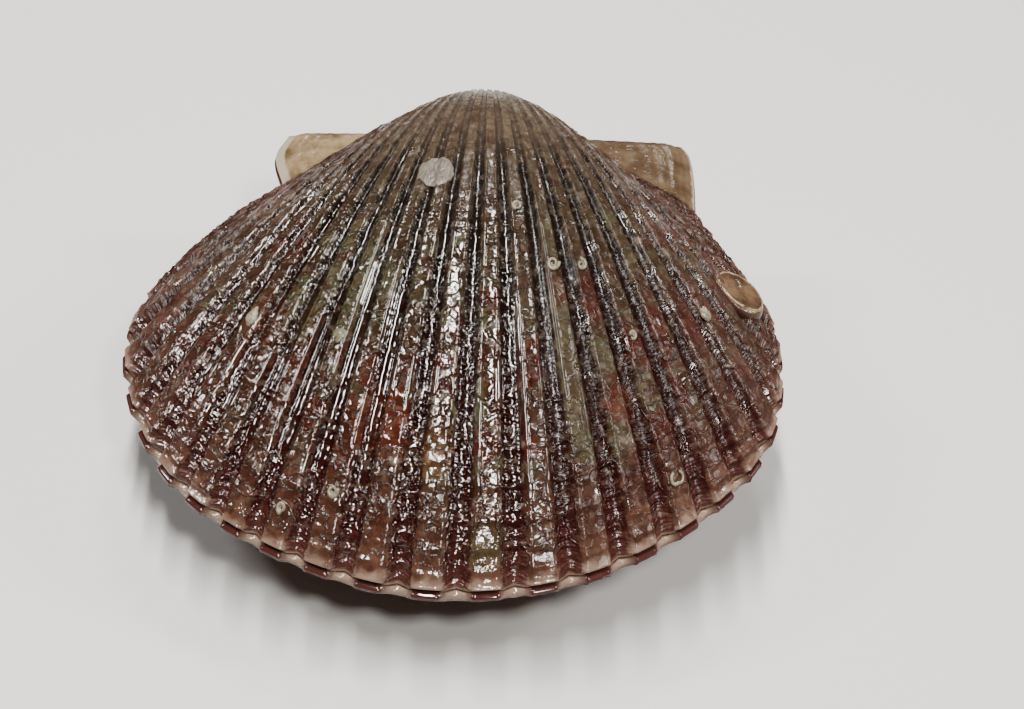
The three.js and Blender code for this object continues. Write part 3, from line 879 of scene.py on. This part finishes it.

# ------------------------------------------------------------------ lower valve
# The lower half: flatter and paler, with its ribs under the upper valve's interspaces and a
# shallow lobe of margin under each upper rib. Where its margin lies under an upper rib's tip
# it is near black: dark red deepened by painted shadow from the tip.
LOWER_SCALE = 1.006
LOBE_SCALE = 0.016
COIL_LOWER = 0.55
LOWER_LOOK = UPPER_LOOK | {
    # The ribs ramp turns near black at the margin, under the upper rib tips: dark red deepened by
    # painted shadow.
    "ribs": [
        (0.0, 0.21, 0.154, 0.119), (0.5, 0.21, 0.14, 0.105), (0.85, 0.189, 0.1085, 0.0805),
        (0.955, 0.126, 0.049, 0.0385), (0.975, 0.0245, 0.0049, 0.0042), (1.0, 0.042, 0.0098, 0.0077),
    ],
    "furrows": [
        (0.0, 0.252, 0.196, 0.154), (0.5, 0.266, 0.196, 0.147), (0.85, 0.238, 0.154, 0.112),
        (1.0, 0.189, 0.1155, 0.0735),
    ],
    "patches": [
        ((0.112, 0.042, 0.0315, 1), 110.0, 0.42, 0.3, 0.99),
        ((0.252, 0.189, 0.147, 1), 300.0, 0.4, 0.1, 0.99),
    ],
    "side": (0.196, 0.119, 0.091, 1),
    "side_dark": (0.14, 0.077, 0.0595, 1),
    "speck": (0.112, 0.063, 0.049, 1),
    "stains": [
        ((0.133, 0.049, 0.035, 1), 6.0, 0.55, 2.2, 0.12, 0.7),
        ((0.154, 0.056, 0.042, 1), 14.0, 0.75, 2.6, 0.10, 0.7),
        ((0.14, 0.105, 0.056, 1), 18.0, 0.5, 1.6, 0.1, 0.6),
        ((0.119, 0.042, 0.0315, 1), 10.0, 0.88, 1.8, 0.05, 0.8),
    ],
    "rim_furrow": (0.14, 0.090, 0.062, 1),
    # Near black under each upper rib tip: dark red deepened by painted shadow.
    "rim_rib": (0.024, 0.006, 0.005, 1),
    "lip_furrow": (0.15, 0.10, 0.072, 1),
    # Near black inside the margin under each upper rib tip: dark red deepened by painted shadow.
    "lip_rib": (0.035, 0.010, 0.008, 1),
    "inside": [
        (0.0, 0.35, 0.28, 0.231), (0.5, 0.434, 0.35, 0.294), (0.8, 0.392, 0.294, 0.245),
        (0.92, 0.182, 0.084, 0.07), (0.955, 0.084, 0.0245, 0.0196), (0.975, 0.168, 0.098, 0.063),
        (1.0, 0.21, 0.133, 0.091),
    ],
}
lower_points, lower_ribs, lower_ears = shell_columns()
lobes = LOBE_SCALE * (crest_height(lower_ribs) - 0.5) * rib_strength(lower_ribs)
lower_points = lower_points * (LOWER_SCALE + lobes)[:, None]
lower_valve = valve_mesh("lower_valve_shell", lower_points, lower_ribs, lower_ears,
                         COIL_LOWER, -1, 0.0)
lower_valve.data.materials.append(shell_material("wet_shell_lower", LOWER_LOOK))
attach(lower_valve, "lower")
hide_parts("lower_valve")

# ------------------------------------------------------------------ hinge ligament
# A thin horny strip along the hinge line, grown in fibres lengthwise. It joins the two valves
# behind the ears.
LIGAMENT_HALF_LENGTH = 19.5
LIGAMENT_WIDTH = 0.55
LIGAMENT_THICKNESS = 0.9
LIGAMENT_BACKSET = 0.30
LIGAMENT_DROOP = 0.03
LIGAMENT_BEVEL = 0.12
LIGAMENT_CUTS = 12


def fill_from(piece, shape):
    """Moves a piece's points, in millimetres, by a function, into the row's metres."""
    move_points(piece, to_row(shape(points_of(piece))))


def edit(piece, *steps):
    """Runs edit-mode operators, each a function of no arguments, on one piece."""
    choose(piece)
    bpy.ops.object.mode_set(mode="EDIT")
    bpy.ops.mesh.select_all(action="SELECT")
    for step in steps:
        step()
    bpy.ops.object.mode_set(mode="OBJECT")


def finish_modifier(piece, kind, **settings):
    """Adds a modifier to a piece and applies it."""
    choose(piece)
    modifier = piece.modifiers.new(kind.lower(), kind)
    for name, value in settings.items():
        setattr(modifier, name, value)
    bpy.ops.object.modifier_apply(modifier=modifier.name)


def sliced_block(name, size, bevel, cuts, along):
    """A block with rounded edges, cut across into slices."""
    clear_selection()
    bpy.ops.mesh.primitive_cube_add(size=1)
    block = bpy.context.object
    block.name = name
    block.scale = size
    bpy.ops.object.transform_apply(location=False, rotation=False, scale=True)
    finish_modifier(block, "BEVEL", width=bevel, segments=3, limit_method="NONE")
    for count in range(1, cuts + 1):
        place = along * Vector(size).dot(along) * (count / (cuts + 1) - 0.5)
        edit(block, lambda: bpy.ops.mesh.bisect(plane_co=place, plane_no=along))
    return block


def bent_ligament(points):
    x, y, z = points.T
    fibres = 0.05 * patchy(x * 0.9, z * 6, 21) + 0.03 * patchy(x * 4, z * 9, 22)
    taper = 1 - 0.55 * smooth(np.abs(x), 0.72 * LIGAMENT_HALF_LENGTH, LIGAMENT_HALF_LENGTH)
    droop = LIGAMENT_DROOP * np.abs(x)
    back = LIGAMENT_BACKSET - droop + (y + fibres * np.sign(y)) * taper
    return np.stack([x, back, z * taper], -1)


ligament_size = (2 * LIGAMENT_HALF_LENGTH, LIGAMENT_WIDTH, LIGAMENT_THICKNESS)
ligament = sliced_block("ligament_strip", ligament_size, LIGAMENT_BEVEL, LIGAMENT_CUTS,
                        Vector((1, 0, 0)))
edit(ligament, lambda: bpy.ops.mesh.subdivide(number_cuts=3))
fill_from(ligament, bent_ligament)
choose(ligament)
bpy.ops.object.shade_smooth()
fibre, tree, shader, here = new_material("horny_fibre", 0.4, 0.5, 0.2)
drawn = put(tree, "ShaderNodeMapping", Vector=here, Scale=(0.06, 1.0, 1.0)).outputs[0]
strand = noise(tree, drawn, 5200.0, 4.0, 0.6)
feed(tree, shader.inputs["Base Color"], ramp(tree, strand, [
    (0.25, 0.028, 0.012, 0.006), (0.5, 0.09, 0.045, 0.022), (0.8, 0.20, 0.12, 0.065),
]))
feed(tree, shader.inputs["Normal"], bump(tree, strand, 0.00012))
ligament.data.materials.append(fibre)
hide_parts("hinge_ligament")
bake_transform(ligament)

# ------------------------------------------------------------------ resilium
# The black elastic pad in the three-cornered pits under the beaks, laid down in thin layers.
# It is squeezed between the closed valves and pushes them open.
RESILIUM_FRONT = -3.3
RESILIUM_BACK = -1.2
RESILIUM_SPREAD = 0.55
RESILIUM_HALF_HEIGHT = 0.85
RESILIUM_BEVEL = 0.08
RESILIUM_CUTS = 20


def wedge(points):
    """From a unit cube to a pad that widens forwards and bulges where it is free."""
    x, y, z = points.T
    depth = RESILIUM_BACK + (RESILIUM_FRONT - RESILIUM_BACK) * (0.5 - y)
    bulge = 1 + 0.07 * np.cos(np.pi * z) - 0.02 * np.cos(14 * np.pi * z)
    wide = x * 2 * RESILIUM_SPREAD * -depth * bulge
    return np.stack([wide, depth, z * 2 * RESILIUM_HALF_HEIGHT], -1)


pad = sliced_block("resilium_pad", (1, 1, 1), RESILIUM_BEVEL, RESILIUM_CUTS, Vector((0, 0, 1)))
fill_from(pad, wedge)
choose(pad)
bpy.ops.object.shade_smooth()
elastic, tree, shader, here = new_material("black_elastic", 0.35, 0.5, 0.1)
drawn = put(tree, "ShaderNodeMapping", Vector=here, Scale=(0.15, 0.15, 1.0)).outputs[0]
layer_tone = noise(tree, drawn, 7000.0, 3.0)
feed(tree, shader.inputs["Base Color"], ramp(tree, layer_tone, [
    (0.3, 0.010, 0.006, 0.004), (0.6, 0.035, 0.020, 0.012), (0.8, 0.07, 0.04, 0.022),
]))
feed(tree, shader.inputs["Normal"], bump(tree, layer_tone, 0.00008))
pad.data.materials.append(elastic)
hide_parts("resilium")
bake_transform(pad)

# ------------------------------------------------------------------ amber crust
# A round, horny, amber crust beside the right ear: a thin pale ring on a low mound that has
# grown over the ribs. It is modelled flat and then laid on the valve.
FINE_STEPS = 400
FAN_CURVE = outline_points(FAN, np.linspace(0, 1, FINE_STEPS))
FAN_LENGTH = np.linalg.norm(np.diff(FAN_CURVE, axis=0), axis=1).sum()
ALL_RIBS = np.linspace(-4, RIB_COUNT + 3, FINE_STEPS)
AMBER_SITE = (22.1, 0.853)
AMBER_TURN = math.radians(-50)
AMBER_STRETCH = (1.33, 0.75)
AMBER_TILT = (0.17, -0.06)
AMBER_LIFT = 0.05
AMBER_FOOT = 3.95
AMBER_RING = 3.05
AMBER_DEPTH = 1.6
AMBER_STEPS = [
    # inset and rise from the foot of the mound in to the ring
    (0.2, 0.25), (0.2, 0.08), (0.2, 0.04), (0.2, 0.02), (0.06, 0.14), (0.08, 0.05), (0.10, -0.11),
]
AMBER_RINGS_INSIDE = 12
AMBER_FLOOR_SHARE = 0.93
AMBER_FLOOR_RISE = 0.012
CRUST_SIDES = 72


def upper_surface(places, radii):
    """Points of the upper valve's smooth outside at places on the fan and growth radii."""
    edge = outline_points(FAN, np.clip(places, 0, 1))
    reach = -edge[:, 1] * radii
    turn = COIL_UPPER * np.log(1 / radii)
    height = reach * np.sin(turn) + wall_thickness(radii)
    return np.stack([edge[:, 0] * radii, -reach * np.cos(turn), height], -1)


def lay_on_valve(piece, site, turn=0.0, follow=0.0):
    """Lays a piece modelled flat at the origin, in millimetres, on the upper valve at a rib and
    a growth radius. Follow is how far its base sinks in with the furrows, from 0 to 1."""
    rib, radius = site
    reach = np.linalg.norm(outline_points(FAN, [rib_place(rib)])[0])

    def laid(points):
        x, y, height = points.T
        across = x * math.cos(turn) - y * math.sin(turn)
        up = x * math.sin(turn) + y * math.cos(turn)
        places = rib_place(rib) + across / (FAN_LENGTH * radius)
        radii = np.clip(radius - up / reach, BEAK_RADIUS, 1.02)
        ribs = np.interp(places, rib_place(ALL_RIBS), ALL_RIBS)
        sideways = upper_surface(places + 0.004, radii) - upper_surface(places - 0.004, radii)
        inwards = upper_surface(places, radii - 0.01) - upper_surface(places, radii + 0.01)
        normals = np.cross(sideways, inwards)
        normals /= np.linalg.norm(normals, axis=1, keepdims=True)
        level = 0.5 + (crest_height(ribs) - 1) * follow
        rise = RIB_HEIGHT * radii * rib_strength(ribs) * level + height
        return upper_surface(places, radii) + normals * rise[:, None]

    fill_from(piece, laid)
    choose(piece)
    bpy.ops.object.shade_smooth()


def round_crust(name, foot, depth, steps, ring):
    """A round crust: a short cylinder whose top is inset and raised step by step. Its attribute
    ring holds each point's distance from the middle, as a share of the radius ring."""
    clear_selection()
    bpy.ops.mesh.primitive_cylinder_add(vertices=CRUST_SIDES, radius=foot, depth=depth)
    crust = bpy.context.object
    crust.name = name
    crust.data.transform(Matrix.Translation((0, 0, -depth / 2)))
    edit(crust, lambda: bpy.ops.mesh.select_all(action="DESELECT"))
    for face in crust.data.polygons:
        face.select = face.normal.z > 0.9
    choose(crust)
    bpy.ops.object.mode_set(mode="EDIT")
    for inset, rise in steps:
        bpy.ops.mesh.inset(thickness=inset, depth=rise)
    bpy.ops.object.mode_set(mode="OBJECT")
    finish_modifier(crust, "SUBSURF", levels=1, render_levels=1)
    far = np.linalg.norm(points_of(crust)[:, :2], axis=1) / ring
    layer = crust.data.attributes.new("ring", "FLOAT", "POINT")
    layer.data.foreach_set("value", far.astype(np.float32))
    return crust


def reshape(piece, shape):
    """Moves a piece's points by a function of x, y and z that gives new x, y and z."""
    move_points(piece, np.stack(shape(*points_of(piece).T), -1))


def amber_shape(x, y, z):
    """Oval outline that stands higher on its outer side, with a ragged ring and a short ridge."""
    far = np.hypot(x, y)
    around = np.arctan2(y, x)
    on_ring = np.exp(-(((far - AMBER_RING) / 0.22) ** 2))
    ragged = 0.07 * patchy(around * 2.2 + 9, 0, 31) * on_ring
    ridge = 0.16 * np.exp(-(((x - 0.35 * y - 0.1) / 0.22) ** 2))
    ridge *= smooth(y, -0.2, 0.4) * smooth(y, 2.2, 1.5)
    inside = 0.06 * patchy(x * 1.6 + 20, y * 1.6 + 20, 32) * (far < AMBER_RING)
    mound = 1 + 0.05 * patchy(around * 1.1 + 9, 0.5, 33)
    wide, long = x * AMBER_STRETCH[0] * mound, y * AMBER_STRETCH[1] * mound
    tilt = wide * AMBER_TILT[0] + long * AMBER_TILT[1] + AMBER_LIFT
    tilt *= smooth(far, AMBER_FOOT, AMBER_RING)
    return wide, long, z + (ragged + ridge + inside + tilt) * (z > -0.2)


inner_inset = AMBER_RING * AMBER_FLOOR_SHARE / (AMBER_RINGS_INSIDE + 1)
inner_steps = [(inner_inset, AMBER_FLOOR_RISE)] * AMBER_RINGS_INSIDE
amber_steps = AMBER_STEPS + inner_steps
amber_crust = round_crust("amber_crust", AMBER_FOOT, AMBER_DEPTH, amber_steps, AMBER_RING)
reshape(amber_crust, amber_shape)
lay_on_valve(amber_crust, AMBER_SITE, AMBER_TURN)

amber, tree, shader, here = new_material("amber_horn", 0.25, 0.4, 0.0)
ring = attribute(tree, "ring")
cloudy = use(tree, blotches, Vector=here, Scale=420.0, Cover=0.5, Softness=0.18)["Mask"]
grain = use(tree, granules, Vector=here, Scale=1500.0)
inner = mix(tree, cloudy, (0.026, 0.012, 0.007, 1), (0.085, 0.050, 0.027, 1))
mound = mix(tree, cloudy, (0.042, 0.018, 0.011, 1), (0.055, 0.038, 0.015, 1))
colour = mix(tree, remap(tree, ring, 0.98, 1.06), inner, mound)
on_ring = times(tree, remap(tree, ring, 0.93, 0.99), remap(tree, ring, 1.09, 1.02))
broken = remap(tree, noise(tree, here, 700.0), 0.3, 0.5)
colour = mix(tree, times(tree, on_ring, broken), colour, (0.20, 0.14, 0.080, 1))
skirt = remap(tree, ring, 1.15, 1.27)
colour = mix(tree, skirt, colour, (0.040, 0.016, 0.010, 1))
feed(tree, shader.inputs["Base Color"], colour)
feed(tree, shader.inputs["Normal"], bump(tree, grain["Height"], 0.00005))
amber_crust.data.materials.append(amber)
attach(amber_crust, "upper")
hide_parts("amber_ring_crust")

# ------------------------------------------------------------------ grey crust
# A flat grey patch of lime near the umbo, thin at its edge, that sags a little into the furrow
# between the two ribs it has grown across.
GREY_SITE = (10.6, 0.417)
GREY_RADIUS = 2.15
GREY_DEPTH = 0.5
GREY_TURN = 0.4
GREY_SAG = 0.35
GREY_STEPS = [(0.1, 0.1), (0.12, 0.04)] + [(0.2, 0.008)] * 8


def grey_shape(x, y, z):
    around = np.arctan2(y, x)
    outline = 1 + 0.12 * patchy(around * 1.6 + 9, 0, 41) + 0.04 * patchy(around * 5 + 20, 0, 42)
    bumps = 0.05 * patchy(x * 3 + 20, y * 3 + 20, 43) * (z > -0.1)
    return x * outline, y * outline, z + bumps


def lime_material(name, roughness, specular, grain_scale, grain_depth, cloud_scale, dark, light,
                  fleck=None, flecks=0.0, rim=None):
    """Grainy lime, cloudy from dark to light, with flecked grains and a paler rim if asked for."""
    material, tree, shader, here = new_material(name, roughness, specular, 0.0)
    grain = use(tree, granules, Vector=here, Scale=grain_scale)
    cloudy = use(tree, blotches, Vector=here, Scale=cloud_scale, Cover=0.5, Softness=0.15)["Mask"]
    colour = mix(tree, cloudy, dark, light)
    if fleck:
        colour = mix(tree, times(tree, grain["Shade"], flecks), colour, fleck)
    if rim:
        near_rim = remap(tree, attribute(tree, "ring"), 0.88, 0.98, 0.0, 0.6)
        colour = mix(tree, near_rim, colour, rim)
    feed(tree, shader.inputs["Base Color"], colour)
    feed(tree, shader.inputs["Normal"], bump(tree, grain["Height"], grain_depth))
    return material


grey_crust = round_crust("grey_crust", GREY_RADIUS, GREY_DEPTH, GREY_STEPS, GREY_RADIUS)
reshape(grey_crust, grey_shape)
lay_on_valve(grey_crust, GREY_SITE, GREY_TURN, GREY_SAG)

grey_crust.data.materials.append(lime_material(
    "grey_lime", 0.35, 0.35, grain_scale=2400.0, grain_depth=0.00008, cloud_scale=700.0,
    dark=(0.062, 0.051, 0.040, 1), light=(0.090, 0.075, 0.059, 1),
    fleck=(0.115, 0.094, 0.073, 1), flecks=0.3, rim=(0.155, 0.128, 0.10, 1)))
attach(grey_crust, "upper")
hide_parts("grey_crust_patch")

# ------------------------------------------------------------------ worm tubes
# Chalky tubes of small worms, coiled flat on the rib crests: a thin inner end, one and a half
# turns that widen, and an open mouth.
TUBE_SITES = [
    # rib, radius, which way the mouth faces, outer radius of the coil
    (14.0, 0.476, 0.6, 0.80), (15.0, 0.576, 2.4, 0.98), (16.0, 0.588, 4.2, 0.84),
    (17.0, 0.72, 5.4, 0.72), (9.0, 0.95, 1.2, 0.74), (10.0, 0.907, 3.1, 0.84),
]
TUBE_TURNS = 1.6
TUBE_POINTS = 44
TUBE_RADIUS = 0.25
MOUTH_WALL = 0.3
MOUTH_DEPTH = 0.9


def tube_along(name, route, radii):
    """A tube through the route's points, with closed ends and a sunken mouth at the last."""
    line = bpy.data.curves.new(name, "CURVE")
    line.dimensions = "3D"
    line.bevel_depth = 1.0
    line.bevel_resolution = 3
    line.use_fill_caps = True
    spline = line.splines.new("POLY")
    spline.points.add(len(route) - 1)
    for point, place, radius in zip(spline.points, route, radii):
        point.co = (*place, 1)
        point.radius = radius
    tube = bpy.data.objects.new(name, line)
    bpy.context.collection.objects.link(tube)
    choose(tube)
    bpy.ops.object.convert(target="MESH")
    mouth = Vector(route[-1])
    inwards = (Vector(route[-2]) - mouth).normalized()
    for vertex in tube.data.vertices:
        vertex.select = False
    for edge in tube.data.edges:
        edge.select = False
    for face in tube.data.polygons:
        face.select = (face.center - mouth).length < 0.1 * radii[-1]
    bpy.ops.object.mode_set(mode="EDIT")
    bpy.ops.mesh.inset(thickness=MOUTH_WALL * radii[-1], depth=0)
    bpy.ops.transform.translate(value=inwards * MOUTH_DEPTH * radii[-1])
    bpy.ops.mesh.select_all(action="SELECT")
    bpy.ops.mesh.remove_doubles(threshold=0.0005)
    bpy.ops.mesh.normals_make_consistent(inside=False)
    bpy.ops.object.mode_set(mode="OBJECT")
    return tube


def coil_route(outer):
    """A flat spiral that ends at its outer radius, with the tube lying on the ground."""
    share = np.linspace(0, 1, TUBE_POINTS)
    angle = 2 * np.pi * TUBE_TURNS * share
    widths = TUBE_RADIUS * (0.35 + 0.65 * share)
    far = (outer - TUBE_RADIUS) * (0.16 + 0.84 * share ** 0.8)
    lift = widths * 0.7 + 0.1 * smooth(share, 0.9, 1)
    return np.stack([far * np.cos(angle), far * np.sin(angle), lift], -1), widths


chalk = lime_material(
    "chalky_tube", 0.3, 0.4, grain_scale=3000.0, grain_depth=0.00006, cloud_scale=1300.0,
    dark=(0.075, 0.060, 0.036, 1), light=(0.145, 0.120, 0.080, 1),
    fleck=(0.20, 0.17, 0.125, 1), flecks=0.35)

for count, (rib, radius, facing, outer) in enumerate(TUBE_SITES, start=1):
    route, widths = coil_route(outer)
    tube = tube_along(f"coiled_tube_{count}", route, widths)
    lay_on_valve(tube, (rib, radius), facing)
    tube.data.materials.append(chalk)
    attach(tube, "upper")
    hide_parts(f"worm_tube_{count}")

# ------------------------------------------------------------------ lumps
# Irregular grains of lime and weed stuck to the ribs, and near the margin a worm tube that has
# grown in the shape of a bent loop.
LUMPS = [
    # name, node, slot, rib, radius, width, length, height
    ("white_grain", "white_lump", "tube_chalk", 6.0, 0.743, 1.7, 2.2, 0.7),
    ("side_grain", "side_lump", "tube_chalk", 19.8, 0.768, 1.5, 1.8, 0.6),
    ("weed_grain", "green_lump", "crust_grey", 9.0, 0.705, 1.7, 1.7, 0.6),
]
LOOP_SITE = (17.0, 0.936)
LOOP_TURN = 3.0
LOOP_HALF_TURN = 2.6
LOOP_POINTS = 40
LOOP_WIDTH = 1.7
LOOP_SQUASH = 0.75
LOOP_PINCH = 0.3
LOOP_LIFT = 0.12
LOOP_TUBE_RADII = (0.14, 0.21)

weed = lime_material(
    "weed_green_lime", 0.3, 0.4, grain_scale=2600.0, grain_depth=0.00008, cloud_scale=900.0,
    dark=(0.045, 0.040, 0.018, 1), light=(0.11, 0.10, 0.055, 1))

for count, (name, node, slot, rib, radius, width, length, height) in enumerate(LUMPS):
    clear_selection()
    bpy.ops.mesh.primitive_ico_sphere_add(subdivisions=5, radius=1)
    grain_piece = bpy.context.object
    grain_piece.name = name

    def grain_shape(x, y, z):
        swell = 1 + 0.22 * patchy(x * 1.7 + 9, y * 1.7 + z + 9, 51 + count)
        swell += 0.08 * patchy(x * 5 + 20, y * 5 + z * 3 + 20, 61 + count)
        risen = np.maximum(z * swell, -0.5) * height * 0.6
        return x * swell * width / 2, y * swell * length / 2, risen

    reshape(grain_piece, grain_shape)
    lay_on_valve(grain_piece, (rib, radius), 0.7 * count)
    grain_piece.data.materials.append(weed if slot == "crust_grey" else chalk)
    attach(grain_piece, "upper")
    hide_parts(node)

bend = np.linspace(-LOOP_HALF_TURN, LOOP_HALF_TURN, LOOP_POINTS)
pinch = LOOP_WIDTH / 2 * (1 - LOOP_PINCH * np.exp(-((bend / 0.5) ** 2)))
loop_lift = np.full(LOOP_POINTS, LOOP_LIFT)
loop_route = np.stack([pinch * np.sin(bend), LOOP_SQUASH * pinch * np.cos(bend), loop_lift], -1)
loop = tube_along("bent_tube", loop_route, np.linspace(*LOOP_TUBE_RADII, LOOP_POINTS))
lay_on_valve(loop, LOOP_SITE, LOOP_TURN)
loop.data.materials.append(chalk)
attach(loop, "upper")
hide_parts("margin_crust")
